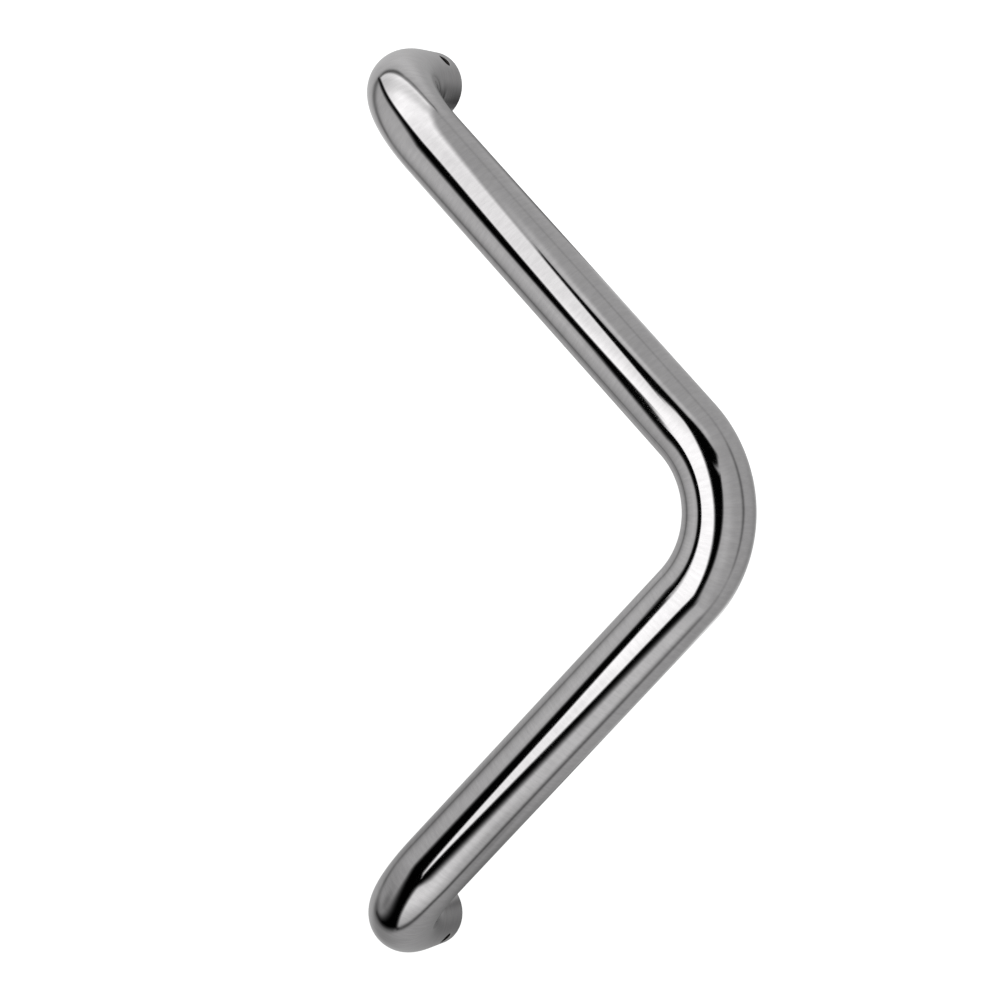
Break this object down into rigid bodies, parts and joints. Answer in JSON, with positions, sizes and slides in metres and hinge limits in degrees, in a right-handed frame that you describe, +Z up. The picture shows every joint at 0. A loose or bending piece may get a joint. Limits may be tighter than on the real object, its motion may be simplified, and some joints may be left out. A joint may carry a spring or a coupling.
{
  "type": "door pull handle",
  "caption": "Door pull handle bent from polished round tube into a chevron, with bored inserts in its feet and grub screws that lock the fixing studs.",
  "frame": {"origin": "on the face of the door, midway between the two fixing points", "axes": "+Z up, along the line of the two fixing points; +Y into the door, so the handle stands out toward -Y; +X toward the point of the chevron"},
  "size_m": [0.1542, 0.06, 0.325],
  "materials": {
    "polished_tube": "polished",
    "turned_insert": "satin",
    "grub_screw_steel": "satin"
  },
  "bodies": {
    "root": {"handle_tube": "polished_tube", "upper_foot_insert": "turned_insert", "lower_foot_insert": "turned_insert", "upper_grub_screw": "grub_screw_steel", "lower_grub_screw": "grub_screw_steel"}
  },
  "joints": []
}
